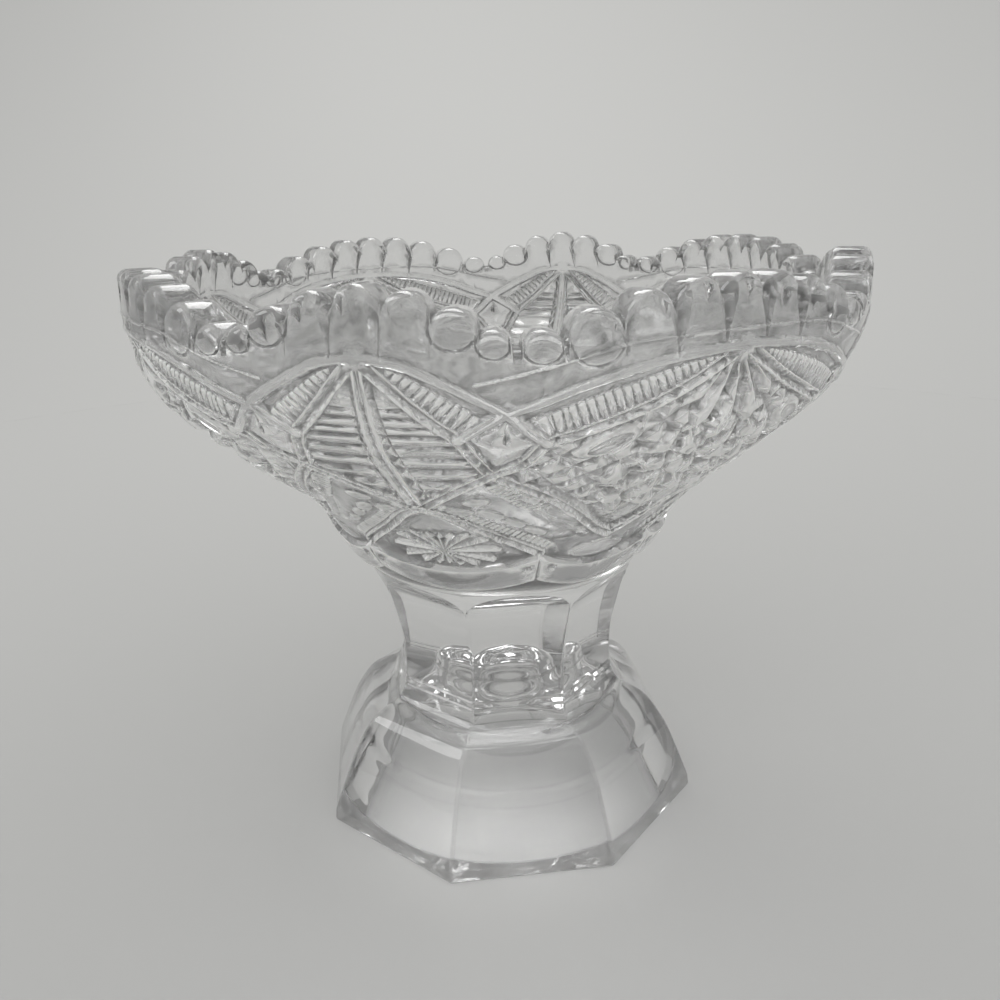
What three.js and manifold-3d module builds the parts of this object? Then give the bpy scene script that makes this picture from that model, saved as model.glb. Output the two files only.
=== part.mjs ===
// Clear pressed-glass compote: a flared bowl with a scalloped, beaded rim, cut-style mitre
// lines and a swagged ledge, on an eight-panelled stem and a hollow eight-sided foot.
// Millimetres, +Z up, origin at the middle of the foot's underside on the table.
// Azimuth is measured from -Y towards +X, and a narrow scallop's middle lies at azimuth 0.
import * as THREE from "three";
import { ConvexGeometry } from "three/addons/geometries/ConvexGeometry.js";
import { mergeVertices } from "three/addons/utils/BufferGeometryUtils.js";
import Module from "manifold-3d";

const wasm = await Module();
wasm.setup();

// Heights
const footHeight = 38;
const stemHeight = 34;
const bowlHeight = 74.5;          // joint with the stem to the root of the tallest bead
const baseBandHeight = 3.5;       // upright edge round the bottom of the foot

// Radii of the eight-sided foot and stem, to their corners
const footRadius = 54.6;
const bandTaper = 0.4;            // how far the upright edge leans in
const neckRadius = 31;            // foot and stem where they meet
const stemTopRadius = 37.5;       // stem and bowl where they meet

// Underside hollow of the foot, which reaches up into the stem
const hollowMouthRadius = 44;
const hollowNeckRadius = 13;      // its radius at the joint between foot and stem
const hollowNoseHeight = 10;      // how far it reaches above that joint
const cutOverrun = 2;             // how far the cut for it starts below the foot

// Panels: flat from the foot up, then running out in an arch under the bowl
const sides = 8;
const archHeight = 9;

// Bowl
const rimRadius = 88.8;
const floorThickness = 7;         // glass under the inside of the bowl
const wallThickness = 7;
const rimThickness = 9.5;
const thickenFrom = 0.6;          // share of the wall's length after which it thickens to the rim
const floorRadius = 27;           // where the inner floor starts to climb
const floorDish = 2.4;            // how far the floor has risen there
const floorEdge = 0.2;            // share of the wall's length where the inner wall meets the floor

// Rim scallops: a narrow and a wide one, four times round
const scallopPairs = 4;
const narrowHalfAngle = 17.5;
const scallopDepth = 9.5;
const scallopRoundness = 2.2;     // 2 draws a parabola, more a flatter middle
const scallopRoot = 4;            // how far below the dips the wall starts to follow the scallops

// Beads along the rim, as rollers that lie across the wall: from a scallop's middle bead to
// the last one beside the dip, and how much they crowd together towards that dip
const narrowBeads = 4;
const narrowCrowding = 1.15;
const wideBeads = 5;
const wideCrowding = 1;
const beadInset = 0.4;            // bead ends to the faces of the wall
const beadGap = 0.3;

// Swagged ledge under the bowl's pattern
const ledgeLow = 4;               // its lower edge above the stem joint, at a star's meridian
const ledgeWidth = 6.5;
const ledgeProud = 1.8;
const ledgeBevel = 0.8;
const ledgeRoot = 0.7;            // how far it reaches into the wall
const swagRise = 3.6;             // how much higher it is between two swags
const swagCusp = 27;              // azimuth of that place from a narrow star

// Mitre lines and ribbons of the pattern
const ribbonWidth = 2;
const ribbonProud = 0.7;
const ribbonKeel = 3;             // how far a line's buried edge lies below its top

// Faceted bosses between the lines: steps, stars, cushions and leaves
const bossProud = 0.7;
const bossEdge = 0.12;            // height of their outline, just clear of the faceted wall
const bossRoot = 1.5;
const spineWidth = 2.4;
const starNotch = 0.62;           // share of a star's reach where the valleys between its rays end
const starValley = 0.5;           // how deep they dip into the wall there
const hobstarReach = 14;
const hobstarRays = 8;
const rosetteReach = 9;
const rosetteRays = 6;
const wedgeLength = 18;           // facet that hangs under a wide star
const wedgeWidth = 5.2;
const stepLip = 0.3;              // from a step's upper edge to its ridge
const leafLength = 14;            // longest leaf or cushion
const leafWidth = 5.7;

// Facets
const turnSteps = 40;
const hollowSteps = 40;
const hollowRows = 15;
const lineSteps = 3;
const beadSides = 8;

const jointLow = footHeight;
const jointHigh = footHeight + stemHeight;
const pitch = 360 / sides;
const starPitch = 360 / (scallopPairs * 2);
const wideHalfAngle = starPitch - narrowHalfAngle;

const glassMaterial = (color) => new THREE.MeshStandardMaterial({
  color, roughness: 0.04, metalness: 0, transparent: true, opacity: 0.4,
});

// Curve helpers

const spline = (points) => new THREE.SplineCurve(points.map(([r, z]) => new THREE.Vector2(r, z)));

// Where a profile curve reaches a height, by halving along the curve, which climbs all the way
function shareAt(curve, height) {
  let low = 0;
  let high = 1;
  for (let i = 0; i < 40; i += 1) {
    const middle = (low + high) / 2;
    if (curve.getPoint(middle).y < height) low = middle;
    else high = middle;
  }
  return (low + high) / 2;
}

const radiusAt = (curve, height) => curve.getPoint(shareAt(curve, height)).x;

// Angle from the nearest multiple of a step, both in degrees
const fromNearest = (angle, step) => angle - step * Math.round(angle / step);

// Point on a ring: azimuth from -Y towards +X
function onRing(radius, azimuth, height) {
  const a = THREE.MathUtils.degToRad(azimuth);
  return new THREE.Vector3(radius * Math.sin(a), -radius * Math.cos(a), height);
}

// Solid helpers

// A turned shape whose points are then moved: shape(radius, azimuth, height) -> [radius, height]
function turned(profile, steps, shape) {
  const geometry = new THREE.LatheGeometry(profile.map(([r, z]) => new THREE.Vector2(r, z)), steps);
  const position = geometry.attributes.position;
  const rows = profile.length;
  for (let i = 0; i < position.count; i += 1) {
    const row = i % rows;
    const azimuth = (360 * (Math.floor(i / rows) % steps)) / steps;
    const [radius, height] = shape ? shape(profile[row][0], azimuth, profile[row][1]) : profile[row];
    const point = onRing(radius, azimuth, height);
    position.setXYZ(i, point.x, point.y, point.z);
  }
  return geometry;
}

function solid(geometry) {
  geometry.deleteAttribute("normal");
  geometry.deleteAttribute("uv");
  const merged = mergeVertices(geometry, 1e-5);
  return new wasm.Manifold(new wasm.Mesh({
    numProp: 3,
    vertProperties: new Float32Array(merged.attributes.position.array),
    triVerts: new Uint32Array(merged.index.array),
  }));
}

function geometryOf(manifold) {
  const mesh = manifold.getMesh();
  const geometry = new THREE.BufferGeometry();
  geometry.setAttribute("position", new THREE.BufferAttribute(new Float32Array(mesh.vertProperties), 3));
  geometry.setIndex(new THREE.BufferAttribute(new Uint32Array(mesh.triVerts), 1));
  geometry.computeVertexNormals();
  return geometry;
}

// Rows of a curve as [radius, height] pairs
const rowsOf = (curve, count) => curve.getPoints(count).map((p) => [p.x, p.y]);

// Foot

// Corner radius up the domed side, over the shoulder to the neck: share of the way in from the
// foot's edge to the neck, share of the foot's height
const dome = [[0.19, 0.36], [0.347, 0.56], [0.568, 0.74], [0.907, 0.86], [1, 1]];
const footCorner = spline([
  [footRadius - bandTaper, baseBandHeight],
  ...dome.map(([inward, up]) => [THREE.MathUtils.lerp(footRadius, neckRadius, inward), up * footHeight]),
]);

const panelCosine = Math.cos(THREE.MathUtils.degToRad(pitch / 2));

// Straight side of the eight-sided outline at an azimuth, for a given corner radius
function panelRadius(corner, azimuth) {
  const fromMiddle = fromNearest(azimuth - pitch / 2, pitch);
  return (corner * panelCosine) / Math.cos(THREE.MathUtils.degToRad(fromMiddle));
}

// The hollow follows the dome at an even thickness, draws in under the shoulder to the neck and
// ends in a round nose
const narrowing = [
  [0, 0], [0.177, 0.29], [0.29, 0.474], [0.452, 0.63], [0.71, 0.763], [0.92, 0.88], [1, 1],
];
const nose = [[0.88, 0.48], [0.52, 0.85], [0, 1]];
const hollowCurve = spline([
  ...narrowing.map(([inward, up]) =>
    [THREE.MathUtils.lerp(hollowMouthRadius, hollowNeckRadius, inward), up * footHeight]),
  ...nose.map(([out, up]) => [out * hollowNeckRadius, footHeight + up * hollowNoseHeight]),
]);

function makeHollow() {
  const rows = rowsOf(hollowCurve, hollowRows);
  rows[rows.length - 1][0] = 0;
  const start = [[0, -cutOverrun], [hollowMouthRadius, -cutOverrun]];
  return solid(turned([...start, ...rows], hollowSteps));
}

function makeFoot() {
  const outline = [[0, 0], [footRadius, 0], ...rowsOf(footCorner, 10), [0, footHeight]];
  const outside = solid(turned(outline, sides * 2, (radius, azimuth, height) =>
    [panelRadius(radius, azimuth), height]));
  return outside.subtract(makeHollow());
}

// Stem

// Corner radius of the stem: share of the way out from neck to top, share of its height
const stemTaper = [[0, 0], [0, 0.3], [0.246, 0.55], [0.585, 0.8], [1, 1]];
const stemCorner = spline(stemTaper.map(([out, up]) =>
  [THREE.MathUtils.lerp(neckRadius, stemTopRadius, out), jointLow + up * stemHeight]));

// Flat panels low down; near the top they run out towards the round flare, which draws the arch
function stemRadius(round, azimuth, height) {
  const out = THREE.MathUtils.clamp((height - (jointHigh - archHeight)) / archHeight, 0, 1);
  const fromMiddle = fromNearest(azimuth - pitch / 2, pitch);
  const middle = round * (panelCosine + (1 - panelCosine) * out);
  return Math.min(round, middle / Math.cos(THREE.MathUtils.degToRad(fromMiddle)));
}

function makeStem() {
  const outline = [[0, jointLow], ...rowsOf(stemCorner, 10), [0, jointHigh]];
  const outside = solid(turned(outline, sides * 8, (radius, azimuth, height) =>
    [stemRadius(radius, azimuth, height), height]));
  return outside.subtract(makeHollow());
}

// Bowl

// Flare of the wall: share of the way out from stem to rim, share of the way up
const flare = [
  [0, 0], [0.156, 0.166], [0.312, 0.303], [0.589, 0.471], [0.879, 0.666], [0.992, 0.859], [1, 1],
];
const wallCurve = spline(flare.map(([out, up]) => [
  THREE.MathUtils.lerp(stemTopRadius, rimRadius, out),
  jointHigh + up * bowlHeight,
]));

// Height of the rim under the beads: arcs that meet in dips between scallops
function rimHeight(azimuth) {
  const fromNarrow = fromNearest(azimuth, 2 * starPitch);
  const inNarrow = Math.abs(fromNarrow) < narrowHalfAngle;
  const away = inNarrow
    ? Math.abs(fromNarrow) / narrowHalfAngle
    : (starPitch - Math.abs(fromNarrow)) / wideHalfAngle;
  return jointHigh + bowlHeight - scallopDepth * Math.pow(Math.abs(away), scallopRoundness);
}

// Inside of the wall: the outer curve moved in by the thickness, then a dished floor
function insideRows(count) {
  const rows = [];
  for (let i = 0; i <= count; i += 1) {
    const t = THREE.MathUtils.lerp(1, floorEdge, i / count);
    const p = wallCurve.getPoint(t);
    const along = wallCurve.getTangent(t);
    const thicker = Math.max(0, (t - thickenFrom) / (1 - thickenFrom));
    const thickness = THREE.MathUtils.lerp(wallThickness, rimThickness, thicker);
    rows.push([p.x - along.y * thickness, p.y + along.x * thickness]);
  }
  const floor = jointHigh + floorThickness;
  rows.push([floorRadius, floor + floorDish]);
  rows.push([floorRadius * 0.5, floor + floorDish * 0.2]);
  rows.push([0, floor]);
  return rows;
}

function makeBowlBody() {
  const top = jointHigh + bowlHeight;
  const plain = top - scallopDepth - scallopRoot;
  const outline = [[0, jointHigh], ...rowsOf(wallCurve, 7), ...insideRows(4)];
  return solid(turned(outline, turnSteps, (radius, azimuth, height) => {
    if (height <= plain) return [radius, height];
    const share = (height - plain) / (top - plain);
    return [radius, plain + share * (rimHeight(azimuth) - plain)];
  }));
}

// One bead: a short roller lying across the wall
function makeBead(azimuth, spacing) {
  const middleRadius = rimRadius - rimThickness / 2;
  const radius = (middleRadius * THREE.MathUtils.degToRad(spacing)) / 2 - beadGap / 2;
  const geometry = new THREE.CylinderGeometry(radius, radius, rimThickness - 2 * beadInset, beadSides);
  geometry.rotateY(Math.PI / beadSides);
  geometry.rotateZ(THREE.MathUtils.degToRad(azimuth));
  const seat = onRing(middleRadius, azimuth, rimHeight(azimuth));
  geometry.translate(seat.x, seat.y, seat.z);
  return solid(geometry);
}

// Beads of one scallop, from its middle out to both sides
function beadsOfScallop(middle, halfAngle, count, crowding) {
  const offset = (i) => halfAngle * (1 - Math.pow(1 - i / (count - 0.5), crowding));
  const beads = [];
  for (let i = 0; i < count; i += 1) {
    const last = i === count - 1;
    const spacing = last ? 2 * (halfAngle - offset(i)) : offset(i + 1) - offset(i);
    beads.push(makeBead(middle + offset(i), spacing));
    if (i > 0) beads.push(makeBead(middle - offset(i), spacing));
  }
  return beads;
}

function makeBeads() {
  const beads = [];
  for (let pair = 0; pair < scallopPairs; pair += 1) {
    const middle = pair * 2 * starPitch;
    beads.push(...beadsOfScallop(middle, narrowHalfAngle, narrowBeads, narrowCrowding));
    beads.push(...beadsOfScallop(middle + starPitch, wideHalfAngle, wideBeads, wideCrowding));
  }
  return beads;
}

// Ledge that hangs in eight swags round the bottom of the pattern
function makeLedge() {
  const section = [
    [-ledgeRoot, 0], [ledgeProud, ledgeBevel],
    [ledgeProud, ledgeWidth - ledgeBevel], [-ledgeRoot, ledgeWidth],
  ];
  return solid(turned([...section, section[0]], turnSteps, (proud, azimuth, up) => {
    const fromNarrow = Math.abs(fromNearest(azimuth, 2 * starPitch));
    const share = fromNarrow < swagCusp
      ? fromNarrow / swagCusp
      : (starPitch - fromNarrow) / (starPitch - swagCusp);
    const height = jointHigh + ledgeLow + up + swagRise * share * share;
    return [radiusAt(wallCurve, height) + proud, height];
  }));
}

// Pattern lines, each as stops of [share of the way from a narrow star to a wide one, share of
// the bowl's height]. Both ribbons pass the crossing under a dip, both long mitre lines one
// below it.
const ribbonCrossing = [0.367, 0.756];
const mitreCrossing = [0.322, 0.566];
const patternLines = [
  [[0.018, 0.886], [0.182, 0.843], ribbonCrossing, [0.478, 0.671]],
  [[0.982, 0.882], [0.667, 0.846], ribbonCrossing, [0.236, 0.685]],
  [[0.013, 0.876], [0.178, 0.73], mitreCrossing, [0.667, 0.386], [0.98, 0.248]],
  [[0.987, 0.872], [0.667, 0.73], mitreCrossing, [0, 0.408]],
];
const spine = [[0, 0.87], [0, 0.64], [0, 0.42]];

// Direction square to the outside of the wall
function outOfWall(azimuth, height) {
  const along = wallCurve.getTangent(shareAt(wallCurve, height));
  return onRing(along.y, azimuth, -along.x);
}

// Point over the wall: azimuth, height, and how far out
function overWall(azimuth, height, out) {
  const onWall = onRing(radiusAt(wallCurve, height), azimuth, height);
  return onWall.addScaledVector(outOfWall(azimuth, height), out);
}

// A line of the pattern as a low bar that follows the wall, with a keel buried in the glass
function makeLine(stops, middle, mirror, width = ribbonWidth) {
  const half = width / 2;
  const places = spline(stops).getSpacedPoints(lineSteps).map(({ x: round, y: up }) =>
    [middle + mirror * round * starPitch, jointHigh + up * bowlHeight]);
  const path = new THREE.CatmullRomCurve3(places.map(([azimuth, height]) =>
    overWall(azimuth, height, ribbonProud - half)));
  const frames = path.computeFrenetFrames(lineSteps, false);
  const centre = Math.floor(lineSteps / 2);
  const outward = outOfWall(...places[centre]);
  const turn = Math.atan2(outward.dot(frames.binormals[centre]), outward.dot(frames.normals[centre]));
  const section = [[half, 0], [0, half], [half - ribbonKeel, 0], [0, -half]].map(([out, aside]) =>
    new THREE.Vector2(out, aside).rotateAround(new THREE.Vector2(), turn));
  return solid(new THREE.ExtrudeGeometry(new THREE.Shape(section), {
    steps: lineSteps, bevelEnabled: false, extrudePath: path,
  }));
}

function makeLines() {
  const lines = [];
  for (let pair = 0; pair < scallopPairs; pair += 1) {
    for (const mirror of [1, -1]) {
      for (const stops of patternLines) lines.push(makeLine(stops, pair * 2 * starPitch, mirror));
    }
    lines.push(makeLine(spine, pair * 2 * starPitch, 1, spineWidth));
  }
  return lines;
}

// A boss with sloping facets: its outline just over the wall, its ridge proud, its root buried
function makeBoss(outline, ridge) {
  const points = [
    ...outline.map(([azimuth, height]) => overWall(azimuth, height, bossEdge)),
    ...outline.map(([azimuth, height]) => overWall(azimuth, height, -bossRoot)),
    ...ridge.map(([azimuth, height]) => overWall(azimuth, height, bossProud)),
  ];
  return solid(new ConvexGeometry(points));
}

// A place so many millimetres round the bowl and up along the wall from another
function shifted([azimuth, height], round, up) {
  const share = shareAt(wallCurve, height);
  const reach = THREE.MathUtils.radToDeg(round / wallCurve.getPoint(share).x);
  return [azimuth + reach, height + up * wallCurve.getTangent(share).y];
}

// Four-sided boss with one peak: half length, half width, and its turn from upright
function makeDiamond(centre, long, wide, turn) {
  const s = Math.sin(THREE.MathUtils.degToRad(turn));
  const c = Math.cos(THREE.MathUtils.degToRad(turn));
  const outline = [[long, 0], [0, wide], [-long, 0], [0, -wide]].map(([ahead, aside]) =>
    shifted(centre, ahead * s + aside * c, ahead * c - aside * s));
  return makeBoss(outline, [centre]);
}

// A star of sloping facets round a middle: its ridges fall to the wall at their tips, and the
// valleys between them run into it
function makeStar(middle, rays, reach) {
  const steps = rays * 2;
  const profile = [[0, bossProud], [1, bossEdge], [1, -bossRoot], [0, -bossRoot]];
  const geometry = new THREE.LatheGeometry(profile.map(([r, z]) => new THREE.Vector2(r, z)), steps);
  const position = geometry.attributes.position;
  for (let i = 0; i < position.count; i += 1) {
    const [share, out] = profile[i % profile.length];
    const step = Math.floor(i / profile.length) % steps;
    const turn = (2 * Math.PI * step) / steps;
    const isTip = step % 2 === 0;
    const far = share * reach * (isTip ? 1 : starNotch);
    const height = isTip || out !== bossEdge ? out : -starValley;
    const point = overWall(...shifted(middle, far * Math.sin(turn), far * Math.cos(turn)), height);
    position.setXYZ(i, point.x, point.y, point.z);
  }
  return solid(geometry);
}

// Steps across the panel under a narrow star: share of the way to a wide star where they end, at
// their top and at their bottom, and share of the bowl's height of their top and bottom
const steps = [
  [0.15, 0.215, 0.73, 0.67],
  [0.23, 0.262, 0.66, 0.6],
  [0.265, 0.25, 0.59, 0.535],
  [0.22, 0.1, 0.525, 0.46],
];

function makeStep(middle, [endTop, endLow, top, low]) {
  const high = jointHigh + top * bowlHeight;
  const down = jointHigh + low * bowlHeight;
  const across = [-1, 0, 1];
  const outline = across.map((side) => [middle + side * endTop * starPitch, high])
    .concat(across.map((side) => [middle + side * endLow * starPitch, down]));
  return makeBoss(outline, across.map((side) => [middle + side * endTop * starPitch, high - stepLip]));
}

// Share of the bowl's height of the middles of the rosette, the hobstar and the wedge
const rosettePlace = 0.213;
const hobstarPlace = 0.532;
const wedgePlace = 0.76;

// Leaves and cushions beside the lines: place, share of the longest one's length, turn from upright
const leaves = [
  [[0.36, 0.672], 0.8, 8],
  [[0.622, 0.381], 1, 137],
  [[0.658, 0.659], 0.94, 57],
];

function makeBosses() {
  const bosses = [];
  for (let pair = 0; pair < scallopPairs; pair += 1) {
    const narrow = pair * 2 * starPitch;
    const wide = narrow + starPitch;
    const at = (azimuth, up) => [azimuth, jointHigh + up * bowlHeight];
    for (const step of steps) bosses.push(makeStep(narrow, step));
    bosses.push(makeStar(at(narrow, rosettePlace), rosetteRays, rosetteReach));
    bosses.push(makeStar(at(wide, hobstarPlace), hobstarRays, hobstarReach));
    bosses.push(makeDiamond(at(wide, wedgePlace), wedgeLength / 2, wedgeWidth / 2, 0));
    for (const mirror of [1, -1]) {
      for (const [[round, up], share, turn] of leaves) {
        const place = at(narrow + mirror * round * starPitch, up);
        bosses.push(makeDiamond(place, (share * leafLength) / 2, leafWidth / 2, mirror * turn));
      }
    }
  }
  return bosses;
}

function makeBowl() {
  let bowl = makeBowlBody().add(makeLedge());
  for (const piece of [...makeBeads(), ...makeLines(), ...makeBosses()]) bowl = bowl.add(piece);
  return bowl;
}

// Assembly

const compote = new THREE.Group();
compote.name = "compote";
for (const [name, make, color] of [
  ["foot", makeFoot, 0xd9dcdb],
  ["stem", makeStem, 0xd9dcdb],
  ["bowl", makeBowl, 0xdddcde],
]) {
  const mesh = new THREE.Mesh(geometryOf(make()), glassMaterial(color));
  mesh.name = name;
  compote.add(mesh);
}

export default compote;
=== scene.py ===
# Clear pressed-glass compote: patterned bowl, eight-panelled stem, hollow eight-sided foot.
# Shapes are worked out in millimetres and go into the meshes in metres, in the CAD frame.
import math

import bmesh
import bpy
import numpy as np
from mathutils import Matrix, Vector


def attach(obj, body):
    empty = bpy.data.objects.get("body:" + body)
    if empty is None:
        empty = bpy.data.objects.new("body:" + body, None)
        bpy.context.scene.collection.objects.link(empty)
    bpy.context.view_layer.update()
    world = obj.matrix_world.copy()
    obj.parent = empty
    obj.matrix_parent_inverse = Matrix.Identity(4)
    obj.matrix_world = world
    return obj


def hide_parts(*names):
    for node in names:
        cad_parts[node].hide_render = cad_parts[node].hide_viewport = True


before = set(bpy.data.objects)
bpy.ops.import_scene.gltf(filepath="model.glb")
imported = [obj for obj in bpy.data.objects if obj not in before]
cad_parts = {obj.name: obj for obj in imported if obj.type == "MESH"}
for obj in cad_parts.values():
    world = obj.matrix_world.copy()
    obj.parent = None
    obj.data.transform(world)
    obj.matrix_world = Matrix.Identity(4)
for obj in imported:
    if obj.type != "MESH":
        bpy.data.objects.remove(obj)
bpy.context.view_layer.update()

# bowl, in millimetres and degrees
bowl = {
    "jointHeight": 72.0,
    "bowlHeight": 74.5,
    "jointRadius": 37.5,
    "rimRadius": 88.8,
    # shares of the way out and up
    "flare": [
        (0, 0), (0.156, 0.166), (0.312, 0.303), (0.589, 0.471), (0.879, 0.666), (0.992, 0.859), (1, 1),
    ],
    "wall": 7.0,                # thickness low down and at the rim
    "rimWall": 9.5,
    "thickenFrom": 0.6,
    "floor": [[27, 81.4], [13.5, 79.5], [0.0, 79.0]],      # radius and height
}


def splinePoint(points, t):
    # point at share t of a curve through the points: each stretch is a cubic whose slopes at its
    # two ends are half the step from the point before to the point after
    p = np.asarray(points, float)
    last = len(p) - 1
    place = np.clip(np.asarray(t, float), 0, 1) * last
    i = np.minimum(place.astype(int), last - 1)
    w = (place - i)[..., None]
    a, b = p[i], p[i + 1]
    slopeA = (b - p[np.maximum(i - 1, 0)]) / 2
    slopeB = (p[np.minimum(i + 2, last)] - a) / 2
    cubic = 2 * a - 2 * b + slopeA + slopeB
    square = -3 * a + 3 * b - 2 * slopeA - slopeB
    return cubic * w**3 + square * w**2 + slopeA * w + a


def lerp(a, b, t):
    return a + (b - a) * t


def ramp(x, low, high):
    # 0 below low, 1 above high, straight in between
    return np.clip((x - low) / (high - low), 0, 1)


def ease(x, low, high):
    # 0 below low, 1 above high, with an S curve in between
    t = ramp(x, low, high)
    return t * t * (3 - 2 * t)


wallPoints = [
    (lerp(bowl["jointRadius"], bowl["rimRadius"], out), bowl["jointHeight"] + up * bowl["bowlHeight"])
    for out, up in bowl["flare"]
]
wallFine = splinePoint(wallPoints, np.linspace(0, 1, 2001))
wallStep = np.hypot(*np.diff(wallFine, axis=0).T)
wallLength = np.concatenate([[0], np.cumsum(wallStep)])      # mm up the wall from the stem joint


def wallAt(v):
    # radius, height and outward slope of the wall, v millimetres up it from the stem joint
    step = 0.5
    wallR, wallZ = wallFine[:, 0], wallFine[:, 1]
    v = np.minimum(v, wallLength[-1])
    r = np.interp(v, wallLength, wallR)
    z = np.interp(v, wallLength, wallZ)
    dr = np.interp(v + step, wallLength, wallR) - np.interp(v - step, wallLength, wallR)
    dz = np.interp(v + step, wallLength, wallZ) - np.interp(v - step, wallLength, wallZ)
    size = np.hypot(dr, dz)
    return r, z, dz / size, -dr / size


def onWall(a, v):
    r, z, _, _ = wallAt(v)
    s = np.radians(a)
    return np.stack([r * np.sin(s), -r * np.cos(s), z], -1)


# crossings of the pattern's lines, as azimuth from a narrow star and millimetres up the wall
starN = (0, 85.6)
starW = (45, 85.2)
crossTop = (16.5, 75.1)
crossLow = (14.5, 57.3)
crossFoot = (0, 39.5)
kiteLeft = (10.6, 69.2)
kiteRight = (21.5, 67.9)
mitreEnd = (45, 21.4)
ledgeEnd = (26, 17.2)

lines = {
    "ribbonN": [starN, (4.5, 84.7), (8.2, 82.2), (12, 79.2), crossTop, (19, 71.4), kiteRight],
    "ribbonW": [starW, (41.5, 84.9), (36, 84.1), (31, 82.7), (25, 80.1), (20, 77.1), crossTop,
                (13.5, 72.4), kiteLeft],
    "mitreA": [starN, (2.7, 81.3), (5.4, 76.9), (8, 73), kiteLeft, (12.6, 62.8), crossLow,
               (17.2, 53.7), (20, 50.3), (25, 44.0), (30, 36.9), (35, 30.1), (40, 24.7), mitreEnd],
    "mitreB": [starW, (40, 80.3), (35, 76.2), (30, 73.0), (25, 70.0), kiteRight, (18.6, 61.4),
               crossLow, (10, 51.6), (5, 45.4), crossFoot],
    "mitreC": [crossFoot, (2.5, 37.9), (5.2, 35.2), (10, 29.4), (15, 24.9), (20, 21.3), ledgeEnd],
    "thin": [(13, 80.8), (20, 83.2), (29.6, 86.9), (35.5, 87.6), (45, 87.9)],
}

# heights are over the plain wall, and below it where negative; all in mm
pattern = {
    "mitreWidth": 1.15,         # half widths
    "mitreDepth": 1.05,
    "lip": 0.14,                # height of a mitre's two edges
    "ribbonWidth": 0.85,
    "ribbonHeight": 0.45,
    "ribbonCrown": 0.26,        # how far its edges lie below its middle
    "bankSlope": 1.4,           # fall beside a mitre or ribbon, mm for each mm
    "thinHeight": 0.28,         # fine line over the ribbons
    "thinSlope": 0.8,
    "starRadius": 1.3,          # small flat star where the lines meet
    "starHeight": 0.36,
    "starSlope": 0.4,
    "bedDepth": 0.95,           # bed of the ladders and of the steps under the smooth wall
    # smooth oval between the long mitre's end and the ledge, as for cushion
    "oval": ((45, 15.2), (8.0, 3.4), 0, -0.75, 0.85),
    "crestPaintFadeFrom": 136.0,      # heights between which the painted highlight on the crests fades out towards the rim
    "crestPaintFadeTo": 139.0,
    "crestPaintFadeShare": 0.75,        # how much of it is gone up there
}


def along(name, start=None, end=None):
    # fine points of a named line, or of its stretch between two of its stops
    stops = lines[name]
    i = 0 if start is None else stops.index(start)
    j = len(stops) - 1 if end is None else stops.index(end)
    n = len(stops) - 1
    fine = splinePoint(stops, np.linspace(min(i, j) / n, max(i, j) / n, abs(j - i) * 8 + 1))
    return fine if i <= j else fine[::-1]


def toLine(a, v, path):
    # distance to a path on the wall, and how far along the path its nearest point lies
    path = np.asarray(path, float)
    p = onWall(a, v)
    q = onWall(path[:, 0], path[:, 1])
    best = np.full(np.shape(a), 1e9)
    place = np.zeros(np.shape(a))
    run = 0.0
    for i in range(len(q) - 1):
        d = q[i + 1] - q[i]
        size = np.linalg.norm(d)
        w = p - q[i]
        t = np.clip((w @ d) / size**2, 0, 1)
        gap = np.linalg.norm(w - t[..., None] * d, axis=-1)
        closer = gap < best
        best = np.where(closer, gap, best)
        place = np.where(closer, run + t * size, place)
        run += size
    return best, place


def inside(a, v, outline):
    # true inside the outline, by counting the edges that a ray crosses
    o = np.asarray(outline, float)
    hit = np.zeros(np.shape(a), bool)
    for (a0, v0), (a1, v1) in zip(o, np.roll(o, -1, axis=0)):
        if v0 != v1:
            crosses = (v0 > v) != (v1 > v)
            hit ^= crosses & (a < a0 + (v - v0) * (a1 - a0) / (v1 - v0))
    return hit


def zigzag(x):
    # 1 at whole numbers, 0 halfway between them
    return np.abs(2 * (x - np.floor(x)) - 1)


def roundBars(x):
    # row of round bars a step of 1 apart: 1 on their tops, 0 in the sharp valleys between
    t = 2 * (x - np.floor(x)) - 1
    return np.sqrt(np.clip(1 - t * t, 0, 1))


def local(a, v, centre):
    # millimetres round the bowl and up the wall from a centre
    r, _, _, _ = wallAt(v)
    return np.radians(a - centre[0]) * r, v - centre[1]


def gem(x, y, corners, base, slope, top):
    # faceted boss: it rises at one slope from every edge of a convex outline, up to a flat top
    edge = np.full(np.shape(x), 1e9)
    turned = np.roll(corners, -1, axis=0)
    area = sum(p[0] * q[1] - q[0] * p[1] for p, q in zip(corners, turned))
    for p, q in zip(corners, turned):
        size = math.hypot(q[0] - p[0], q[1] - p[1])
        cross = (q[0] - p[0]) * (y - p[1]) - (q[1] - p[1]) * (x - p[0])
        edge = np.minimum(edge, cross / size * np.sign(area))
    return np.minimum(base + slope * edge, top)


def polar(reach, turn):
    return reach * math.sin(turn), reach * math.cos(turn)


def cushion(a, v, centre, size, tilt, base, height):
    # smooth oval boss: its half sizes in mm, tilt in degrees, the height of its edge, and its rise
    x, y = local(a, v, centre)
    c, s = math.cos(math.radians(tilt)), math.sin(math.radians(tilt))
    rho = np.hypot((x * c + y * s) / size[0], (y * c - x * s) / size[1])
    return np.where(rho < 1, base + height * np.sqrt(np.clip(1 - rho**2, 0, 1)), -9)


ladder = {
    "step": 1.62,               # mm from rung to rung
    "rungHeight": 0.85,         # over the bed
    "rungEnd": (0.60, 0.68),    # share of the field's width over which the rungs run out
    "hollowFrom": 0.66,
    "hollowRise": 0.75,
    "tipHeight": -0.3,          # the tip at the star, and where it goes over into the rungs
    "tipFade": (3.5, 6.5),
}


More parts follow.
